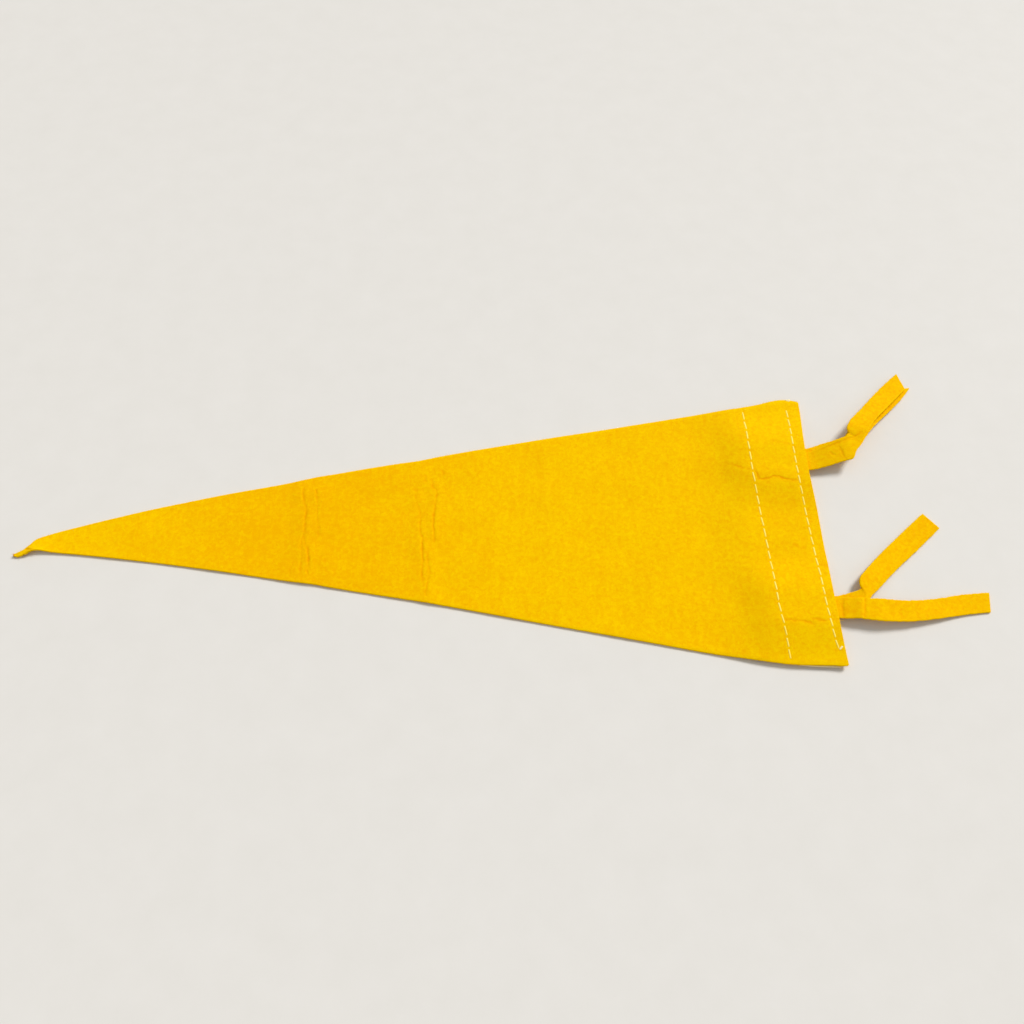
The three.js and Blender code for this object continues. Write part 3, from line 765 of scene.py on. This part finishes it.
def tie(name, under_tail, top_tail, band, lines):
    """One tie: the tail below, the fold, then the tail on top."""
    parts = []
    for tail in (under_tail, top_tail):
        far, near = edges_of(tail)
        parts.append(rungs(far, near, [TIE_SPACING] * len(far)))
    turn = half_turn(band)
    far = np.vstack([parts[0][0], turn[0], parts[1][0]])
    near = np.vstack([parts[0][1], turn[1], parts[1][1]])
    on_top = np.arange(len(far)) >= len(parts[0][0]) + len(turn[0])
    grid, _ = across(far, near, np.linspace(0, 1, TIE_LINES))
    x, y = grid[:, :, 0], grid[:, :, 1]
    groove, _ = creases(x, y, lines, seed=31 + band, breaks=0.4)
    groove = groove * on_top[:, None]
    free = smooth((x - TIE_FREE_X) / TIE_FREE_LENGTH) * smooth(grid[:, :, 2] - TIE_LOOSE_Z)
    grid[:, :, 2] += TIE_WAVE * free * waves(x, y, TIE_WAVE_LENGTH, 41 + band)
    ragged(grid, TIE_RAGGED, 61 + band)
    # painted light on the upper tie's root, which rises away from the lamp
    off_place = np.hypot(x - TIE_PAINTED_LIGHT_PLACE[0], y - TIE_PAINTED_LIGHT_PLACE[1])
    shade = TIE_PAINTED_LIGHT * swell(off_place, TIE_PAINTED_LIGHT_REACH)
    return felt_sheet(name, grid, TIE_GROOVE * groove / 2, TIE_GROOVE * groove, groove, shade)


upper_tie = tie("upper_tie_felt", UPPER_UNDER_TAIL, UPPER_TOP_TAIL, 0, UPPER_TIE_CREASES)
lower_tie = tie("lower_tie_felt", LOWER_UNDER_TAIL, LOWER_TOP_TAIL, 1, LOWER_TIE_CREASES)

# %% [markdown]
# ## Sewing thread
# The thread is cream, three plies twisted together and a little thicker than the
# felt would need. A plain tube would look like wire, so the section has three
# lobes that turn along the thread. Every stitch comes up out of its needle hole,
# lies on the felt and goes down again; its height is measured on the finished
# cloth by a ray from above.

# %% Twisted thread
THREAD_RADIUS = 0.39
THREAD_FLAT = 0.5
THREAD_SIDES = 12
PLIES = 3
PLY_RELIEF = 0.08
PLY_PITCH = 2.6
STITCH_STEPS = 20
STITCH_DIVE = 0.8
STITCH_PROUD = -0.08
STITCH_ARCH = 0.04
STITCH_SLANT = 0.16
DIVE_SHARE = 0.15
HEIGHT_RAYS = 7
RAY_START = 50.0 * MM


def twisted_thread(path, radius, phase):
    """Points and faces of a closed tube with turning lobes along a path."""
    tangent = unit(np.gradient(path, axis=0))
    side = unit(np.cross(tangent, [0.0, 0.0, 1.0]) + 1e-9)
    up = unit(np.cross(side, tangent))
    steps = np.linalg.norm(np.diff(path, axis=0), axis=1)
    sewn = np.concatenate([[0], np.cumsum(steps)])
    angle = np.linspace(0, math.tau, THREAD_SIDES, endpoint=False)[None, :]
    turned = PLIES * angle - math.tau * (sewn / PLY_PITCH * PLIES + phase)[:, None]
    reach = radius * (1 + PLY_RELIEF * np.cos(turned))
    points = path[:, None, :] + side[:, None, :] * (reach * np.cos(angle))[:, :, None]
    points = points + up[:, None, :] * (reach * np.sin(angle) * THREAD_FLAT)[:, :, None]
    rings = len(path)
    index = np.arange(rings * THREAD_SIDES).reshape(rings, THREAD_SIDES)
    ahead = np.roll(index, -1, axis=1)
    tube = np.stack([index[:-1], index[1:], ahead[1:], ahead[:-1]], axis=-1).reshape(-1, 4)
    caps = [index[0].tolist(), index[-1][::-1].tolist()]
    return points.reshape(-1, 3), tube.tolist() + caps


def join(parts):
    """One list of points and faces from several."""
    points, faces, start = [], [], 0
    for part_points, part_faces in parts:
        points.append(part_points)
        faces += [[start + k for k in face] for face in part_faces]
        start += len(part_points)
    return np.concatenate(points), faces


class Surface:
    """The finished felt, asked for its height at a place."""

    def __init__(self, piece):
        mesh = piece.data
        self.tree = BVHTree.FromPolygons([v.co for v in mesh.vertices],
                                         [p.vertices for p in mesh.polygons])

    def height(self, x, y, from_above=True):
        place = (np.array([x, y, 0.0]) + HOIST) * MM
        way = -1.0 if from_above else 1.0
        hit, *_ = self.tree.ray_cast(Vector((place[0], place[1], -way * RAY_START)), Vector((0, 0, way)))
        return None if hit is None else hit.z / MM


def stitch(surface, start, end, phase, from_above=True):
    """One stitch between two needle holes, a little slanted to its row."""
    share = np.linspace(0, 1, STITCH_STEPS)
    slant = np.array([end[1] - start[1], start[0] - end[0]]) * STITCH_SLANT / np.hypot(*(end - start))
    start, end = start + slant, end - slant
    line = start + (end - start) * share[:, None]
    inner = np.linspace(DIVE_SHARE / 2, 1 - DIVE_SHARE / 2, HEIGHT_RAYS)
    heights = [surface.height(*(start + (end - start) * s), from_above) for s in inner]
    lying = np.interp(share, inner, heights)
    way = 1.0 if from_above else -1.0
    proud = STITCH_PROUD + STITCH_ARCH * np.sin(math.pi * share)
    down = swell(share, DIVE_SHARE) + swell(1 - share, DIVE_SHARE)
    z = lying + way * (proud - STITCH_DIVE * down)
    path = np.column_stack([line, np.maximum(z, THREAD_RADIUS)])
    return twisted_thread(path, THREAD_RADIUS, phase)


cloth_top = Surface(cloth)
strip_under = Surface(strip)
top_stitches, under_stitches = [], []
for name, holes in NEEDLE_HOLES.items():
    for k, (start, end) in enumerate(zip(holes[:-1], holes[1:])):
        top_stitches.append(stitch(cloth_top, start, end, 0.37 * k))
        under_stitches.append(stitch(strip_under, start, end, 0.61 * k, from_above=False))
print("stitches laid:", len(top_stitches), "on top and", len(under_stitches), "under the strip")

# %% [markdown]
# Four small things make the sewing look handled: the hoist row ends in a short
# back stitch that points up like a tick, a tiny knot of thread shows on the far
# edge, the thread was carried under the near edge from one row to the other, and
# a short end peeps out beside the lower tie. The knot is a trefoil curve, which
# is how a plain overhand knot runs. Thread that isn't sewn down looks whiter.

# %% Thread ends
TICK = [(-3.8, -66.4), (-1.9, -64.9)]
KNOT_PLACE = (-3.2, 72.45, 2.35)
KNOT_SIZE = (0.4, 0.15, 0.13)
KNOT_RADIUS = 0.85 * THREAD_RADIUS
KNOT_TURN = 0.97 * math.tau
KNOT_STEPS = 90
CARRIED_RADIUS = 0.3
CARRIED_STEPS = 160
LOOSE_RADIUS = 0.25
LOOSE_STEPS = 30
CARRIED = [(-26.3, -70.8, 1.3), (-24.6, -72.0, 1.4), (-21.0, -72.85, 1.5), (-15.0, -73.5, 1.5),
           (-10.0, -73.8, 1.55), (-6.0, -73.95, 1.55), (-4.0, -73.9, 1.5), (-3.2, -72.9, 1.4),
           (-3.0, -71.0, 1.2)]
LOOSE_END = [(-2.6, -50.6, 1.2), (-0.6, -51.1, 1.15), (0.7, -51.4, 0.9), (2.1, -51.3, 0.6)]


def laid_thread(points, steps, radius):
    """Loose thread along a few points."""
    points = np.array(points, float)
    return twisted_thread(curve_through(points, np.linspace(0, len(points) - 1, steps)), radius, 0.0)


def knot(place, size):
    """A small trefoil of thread, not quite closed."""
    turn = np.linspace(0, KNOT_TURN, KNOT_STEPS)
    curve = np.column_stack([
        size[0] * (np.sin(turn) + 2 * np.sin(2 * turn)),
        size[1] * (np.cos(turn) - 2 * np.cos(2 * turn)),
        -size[2] * np.sin(3 * turn),
    ])
    return twisted_thread(curve + place, KNOT_RADIUS, 0.0)


tick = stitch(cloth_top, np.array(TICK[0]), np.array(TICK[1]), 0.2)
carried = laid_thread(CARRIED, CARRIED_STEPS, CARRIED_RADIUS)
loose_end = laid_thread(LOOSE_END, LOOSE_STEPS, LOOSE_RADIUS)
loose = [tick, knot(KNOT_PLACE, KNOT_SIZE), carried, loose_end]
points, faces = join(top_stitches + loose)
bare = np.arange(len(points)) >= len(points) - sum(len(part) for part, _ in loose)
sewing = new_mesh("sewing_thread", points, faces, {"bare": bare.astype(float)})
under_sewing = new_mesh("under_thread", *join(under_stitches))
for piece in (sewing, under_sewing):
    print(piece.name, "has", len(piece.data.polygons), "faces")

# %% [markdown]
# ## Writing materials as maths
# Node trees are easier to read as formulas. One small class wraps an output
# socket: plus, minus and times add Math nodes, and one method makes any other
# node from its type, its settings and what goes into its sockets.

# %% Sockets with operators


class Wire:
    """One output socket of a material, with Python's operators."""

    def __init__(self, tree, socket=None):
        self.tree = tree
        self.socket = socket

    def node(self, kind, settings, inputs, output=0):
        made = self.tree.nodes.new(kind)
        for name, value in settings.items():
            setattr(made, name, value)
        for name, value in inputs.items():
            if isinstance(value, Wire):
                self.tree.links.new(value.socket, made.inputs[name])
            else:
                made.inputs[name].default_value = value
        return Wire(self.tree, made.outputs[output])

    def math(self, operation, *values):
        inputs = dict(enumerate(values))
        return self.node("ShaderNodeMath", {"operation": operation}, inputs)

    def __add__(self, other):
        return self.math("ADD", self, other)

    def __sub__(self, other):
        return self.math("SUBTRACT", self, other)

    def __rsub__(self, other):
        return self.math("SUBTRACT", other, self)

    def __mul__(self, other):
        return self.math("MULTIPLY", self, other)

    __radd__ = __add__
    __rmul__ = __mul__

    def mixed(self, dark, light):
        """Between two colours by this value."""
        inputs = {0: self, 6: dark, 7: light}
        return self.node("ShaderNodeMix", {"data_type": "RGBA"}, inputs, output=2)

    def ranged(self, low, high, to_low=0.0, to_high=1.0):
        inputs = {"Value": self, "From Min": low, "From Max": high, "To Min": to_low, "To Max": to_high}
        return self.node("ShaderNodeMapRange", {"clamp": True}, inputs)


def noise(place, scale, detail=3.0, rough=0.55, bend=0.0):
    """Cloudy noise; the scale counts features in a metre."""
    inputs = {"Vector": place, "Scale": scale, "Detail": detail, "Roughness": rough, "Distortion": bend}
    return place.node("ShaderNodeTexNoise", {}, inputs)


def stretched(place, turn, factors):
    """Coordinates turned about the upright and then squeezed."""
    inputs = {"Vector": place, "Rotation": (0.0, 0.0, turn), "Scale": factors}
    return place.node("ShaderNodeMapping", {"vector_type": "TEXTURE"}, inputs)


def srgb(red, green, blue):
    """A colour read off a picture, as the shader wants it."""
    linear = [(c / 255 / 12.92) if c <= 10 else ((c / 255 + 0.055) / 1.055) ** 2.4
              for c in (red, green, blue)]
    return (*linear, 1.0)


def new_material(name):
    """A material, its tree, its shader and the piece's own coordinates."""
    material = bpy.data.materials.new(name)
    material.use_nodes = True
    tree = material.node_tree
    shader = tree.nodes["Principled BSDF"]
    place = Wire(tree).node("ShaderNodeTexCoord", {}, {}, output="Object")
    return material, tree, shader, place


# %% [markdown]
# ## Golden felt
# Pressed wool felt has no weave. What shows is a fine mottle of denser and looser fibre, 1 to 2 mm
# across, over slow clouds of colour, with thin curly fibres on top. Creases are darker, partly because
# the fibres are packed there and partly by painted shade in the groove, and a cut edge is lighter because
# loose ends catch the light. The same recipe serves cloth, strip and ties, with slightly different
# yellows.

# %% Felt material
FELT_LIGHT = srgb(255, 208, 0)
FELT_DARK = srgb(248, 181, 0)
FELT_CREASE_AND_SHADE = srgb(238, 136, 0)
FELT_RIM = srgb(255, 212, 0)
FELT_GLOSS = srgb(255, 196, 20)
MOTTLE_SCALE = 560.0
MOTTLE_DEPTH = 1.9
FINE_SCALE = 1700.0
FINE_DEPTH = 0.7
CLOUD_SCALE = 45.0
CLOUD_DEPTH = 0.3
CURL_SCALES = (620.0, 700.0)
CURL_SHARPNESS = 7
STREAK_SCALE = 110.0
FIBRE_DEPTH = 0.10
SHADE_DEPTH = 0.26
FELT_BUMP = 0.68
FELT_BUMP_HEIGHT = 0.22 * MM


def curly_lines(cloud):
    """Thin bright lines where a noise crosses its middle value."""
    off_middle = cloud * 2 - 1
    return (1 - off_middle.math("ABSOLUTE", off_middle) * CURL_SHARPNESS).ranged(0.0, 1.0)


def felt(name, light, dark, streaky=0.0):
    """Pressed felt between two yellows, with longer marks along the cloth if it is streaky."""
    material, tree, shader, place = new_material(name)
    mottle = noise(place, MOTTLE_SCALE, 4.0, 0.62, 0.6)
    fine = noise(place, FINE_SCALE, 3.0, 0.6)
    clouds = noise(place, CLOUD_SCALE, 2.0, 0.5)
    curl_one = noise(stretched(place, 0.5, (1.0, 0.35, 1.0)), CURL_SCALES[0], 2.0, 0.5, 1.8)
    curl_two = noise(stretched(place, -0.9, (0.35, 1.0, 1.0)), CURL_SCALES[1], 2.0, 0.5, 1.8)
    fibres = curly_lines(curl_one) + curly_lines(curl_two)
    value = 0.5 + (mottle - 0.5) * MOTTLE_DEPTH + (fine - 0.5) * FINE_DEPTH + (clouds - 0.5) * CLOUD_DEPTH
    value = value + (fibres - 0.4) * FIBRE_DEPTH
    # the shade layer holds painted light and shade, and the darker band between the cloth's folds
    shade = place.node("ShaderNodeAttribute", {"attribute_name": "shade"}, {}, output="Fac")
    value = value - shade * SHADE_DEPTH
    if streaky:
        long_marks = noise(stretched(place, 0.0, (0.35, 2.2, 1.0)), STREAK_SCALE, 3.0, 0.6, 0.4)
        value = value + (long_marks - 0.5) * streaky
    colour = value.ranged(0.1, 0.9).mixed(dark, light)
    groove = place.node("ShaderNodeAttribute", {"attribute_name": "groove"}, {}, output="Fac")
    rim = place.node("ShaderNodeAttribute", {"attribute_name": "rim"}, {}, output="Fac")
    # creases darker from packed fibres and from painted shade in the groove
    colour = (groove * 0.5).ranged(0.0, 1.0).mixed(colour, FELT_CREASE_AND_SHADE)
    colour = (rim * 0.55).mixed(colour, FELT_RIM)
    height = mottle * 0.55 + fine * 0.45 + fibres * 0.22
    bumps = {"Strength": FELT_BUMP, "Distance": FELT_BUMP_HEIGHT, "Height": height}
    normal = place.node("ShaderNodeBump", {}, bumps)
    rough = fine * 0.12 + 0.84
    tree.links.new(colour.socket, shader.inputs["Base Color"])
    tree.links.new(rough.socket, shader.inputs["Roughness"])
    tree.links.new(normal.socket, shader.inputs["Normal"])
    shader.inputs["Specular IOR Level"].default_value = 0.1
    shader.inputs["Specular Tint"].default_value = FELT_GLOSS
    shader.inputs["Sheen Weight"].default_value = 0.08
    shader.inputs["Sheen Roughness"].default_value = 0.55
    shader.inputs["Sheen Tint"].default_value = FELT_GLOSS
    return material


cloth_felt = felt("golden_felt", FELT_LIGHT, FELT_DARK, streaky=0.5)
strip_felt = felt("heading_felt_finish", srgb(252, 200, 0), srgb(242, 174, 0))
tie_felt = felt("tie_felt_finish", srgb(255, 205, 0), srgb(249, 177, 0))

# %% [markdown]
# ## Cream thread
# Sewing thread is smoother than felt and has a soft gloss along its plies. Fine
# streaks that follow the thread and a little dirt between the plies are enough.

# %% Thread material
SEWN_DARK = srgb(252, 214, 50)
SEWN_LIGHT = srgb(255, 236, 104)
BARE_DARK = srgb(246, 228, 160)
BARE_LIGHT = srgb(254, 242, 196)
THREAD_BUMP = 0.35
THREAD_BUMP_HEIGHT = 0.08 * MM


def thread_finish(name):
    """Cream thread, whiter where it isn't sewn down."""
    material, tree, shader, place = new_material(name)
    strands = noise(place, 2600.0, 3.0, 0.6)
    tone = noise(place, 160.0, 2.0, 0.5)
    bare = place.node("ShaderNodeAttribute", {"attribute_name": "bare"}, {}, output="Fac")
    shade = (strands * 0.6 + tone * 0.4).ranged(0.3, 0.7)
    colour = bare.mixed(shade.mixed(SEWN_DARK, SEWN_LIGHT), shade.mixed(BARE_DARK, BARE_LIGHT))
    bumps = {"Strength": THREAD_BUMP, "Distance": THREAD_BUMP_HEIGHT, "Height": strands}
    normal = place.node("ShaderNodeBump", {}, bumps)
    tree.links.new(colour.socket, shader.inputs["Base Color"])
    tree.links.new((strands * 0.2 + 0.42).socket, shader.inputs["Roughness"])
    tree.links.new(normal.socket, shader.inputs["Normal"])
    shader.inputs["Sheen Weight"].default_value = 0.15
    return material


cream_thread = thread_finish("cream_thread")

# %% [markdown]
# ## Loose fibres
# Under a lens every felt has a haze of fibre ends along its cut edges. They are
# thin tapering hairs with three sides, all joined in one mesh for each piece, and
# a fixed seed puts them in the same places on every run.

# %% Fibre haze
FIBRE_RADIUS = 0.016
FIBRE_STEPS = 4
EDGE_FIBRES = 5200
TIE_FIBRES = 1900
FIBRE_ROOT = 0.03
FIBRE_SPREAD = 0.55
FIBRE_GAMMA = (3.0, 0.15)
FIBRE_SHORTEST = 0.15
FIBRE_LONGEST = 1.1
FIBRE_TAPER = 0.6
BORDER_CHANCE = 0.6


def fibre_haze(name, piece, count, seed):
    """Tapering hairs along the cut edges of a piece."""
    rng = np.random.default_rng(seed)
    mesh = piece.data
    places = np.array([v.co for v in mesh.vertices])
    normals = np.array([v.normal for v in mesh.vertices])
    rim = np.zeros(len(places), np.float32)
    mesh.attributes["rim"].data.foreach_get("value", rim)
    chance = np.where(rim > 0.9, 1.0, np.where(rim > 0.5, BORDER_CHANCE, 0.0))
    chosen = rng.choice(len(places), count, p=chance / chance.sum())
    base = places[chosen] / MM - HOIST - normals[chosen] * FIBRE_ROOT
    way = unit(normals[chosen] + rng.normal(0, FIBRE_SPREAD, (count, 3)))
    bend = rng.normal(0, FIBRE_SPREAD, (count, 3))
    length = rng.gamma(*FIBRE_GAMMA, count).clip(FIBRE_SHORTEST, FIBRE_LONGEST)[:, None]
    share = np.linspace(0, 1, FIBRE_STEPS)
    centre = (base[:, None, :] + way[:, None, :] * (length * share)[:, :, None]
              + bend[:, None, :] * (length * share**2)[:, :, None] * 0.5)
    centre[:, :, 2] = np.maximum(centre[:, :, 2], FIBRE_RADIUS)
    side = unit(np.cross(way, [0.3, 0.2, 0.93]) + 1e-9)
    other = unit(np.cross(way, side))
    taper = FIBRE_RADIUS * (1 - FIBRE_TAPER * share)[None, :, None, None]
    angle = np.linspace(0, math.tau, 3, endpoint=False)
    ring = (side[:, None, :] * np.cos(angle)[None, :, None]
            + other[:, None, :] * np.sin(angle)[None, :, None])
    points = (centre[:, :, None, :] + ring[:, None, :, :] * taper).reshape(-1, 3)
    index = np.arange(count * FIBRE_STEPS * 3).reshape(count, FIBRE_STEPS, 3)
    ahead = np.roll(index, -1, axis=2)
    tube = np.stack([index[:, :-1], ahead[:, :-1], ahead[:, 1:], index[:, 1:]], axis=-1).reshape(-1, 4)
    caps = np.concatenate([index[:, 0, ::-1], index[:, -1]])
    haze = new_mesh(name, points, tube.tolist() + caps.tolist())
    print(f"{name}: {count} fibres, {2 * len(tube) + len(caps)} triangles")
    return haze


cloth_haze = fibre_haze("pennant_fibres", cloth, EDGE_FIBRES, 71)
upper_haze = fibre_haze("upper_tie_fibres", upper_tie, TIE_FIBRES, 72)
lower_haze = fibre_haze("lower_tie_fibres", lower_tie, TIE_FIBRES, 73)

# %% [markdown]
# ## Finishes and rides
# Every piece gets its material and rides on the one body, and the frame's plain solids are hidden.

# %% Give each piece its finish
FINISHES = [
    (cloth, cloth_felt, "felt"),
    (strip, strip_felt, "felt_back"),
    (upper_tie, tie_felt, "tie_felt"),
    (lower_tie, tie_felt, "tie_felt"),
    (sewing, cream_thread, "thread"),
    (under_sewing, cream_thread, "thread"),
    (cloth_haze, cloth_felt, "felt"),
    (upper_haze, tie_felt, "tie_felt"),
    (lower_haze, tie_felt, "tie_felt"),
]
for piece, material, slot in FINISHES:
    piece.data.materials.append(material)
    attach(piece, "root")

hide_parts("pennant")
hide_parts("heading_strip")
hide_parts("upper_tie")
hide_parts("lower_tie")

# %% [markdown]
# ## Floor and light
# The floor is plain and pale. One large soft light comes from the right and behind,
# about 42 degrees up, where the shadows in the photograph say it is. A sun with a
# wide angle does that without getting weaker towards the tip, as a near lamp would.
# An even pale sky fills the shadows. The Standard view keeps the strong yellow,
# which a filmic view would wash out.

# %% Stage
FLOOR_SIZE = 8.0
LAMP_ANGLE = math.radians(18.0)
LAMP_STRENGTH = 2.76
LAMP_WAY = Vector((0.747, 0.664, 0.0))
LAMP_ELEVATION = math.radians(42.0)
SKY_STRENGTH = 0.47
SKY_COLOUR = (1.0, 0.99, 0.97, 1.0)

half = FLOOR_SIZE / 2
floor_mesh = bpy.data.meshes.new("floor")
floor_mesh.from_pydata([(-half, -half, 0), (half, -half, 0), (half, half, 0), (-half, half, 0)],
                       [], [(0, 1, 2, 3)])
floor = bpy.data.objects.new("floor", floor_mesh)
bpy.context.scene.collection.objects.link(floor)

floor_finish, tree, shader, place = new_material("pale_floor")
grain = noise(place, 60.0, 4.0, 0.6)
pale = grain.mixed(srgb(222, 219, 213), srgb(228, 225, 220))
tree.links.new(pale.socket, shader.inputs["Base Color"])
shader.inputs["Roughness"].default_value = 0.7
shader.inputs["Specular IOR Level"].default_value = 0.2
floor.data.materials.append(floor_finish)

lamp_data = bpy.data.lights.new("soft_lamp", "SUN")
lamp_data.angle = LAMP_ANGLE
lamp_data.energy = LAMP_STRENGTH
lamp = bpy.data.objects.new("soft_lamp", lamp_data)
reach = LAMP_WAY * math.cos(LAMP_ELEVATION) + Vector((0, 0, math.sin(LAMP_ELEVATION)))
lamp.location = reach
lamp.rotation_euler = reach.to_track_quat("Z", "Y").to_euler()
bpy.context.scene.collection.objects.link(lamp)

sky = bpy.data.worlds.new("pale_sky")
sky.use_nodes = True
sky.node_tree.nodes["Background"].inputs["Color"].default_value = SKY_COLOUR
sky.node_tree.nodes["Background"].inputs["Strength"].default_value = SKY_STRENGTH
bpy.context.scene.world = sky
bpy.context.scene.view_settings.view_transform = "Standard"
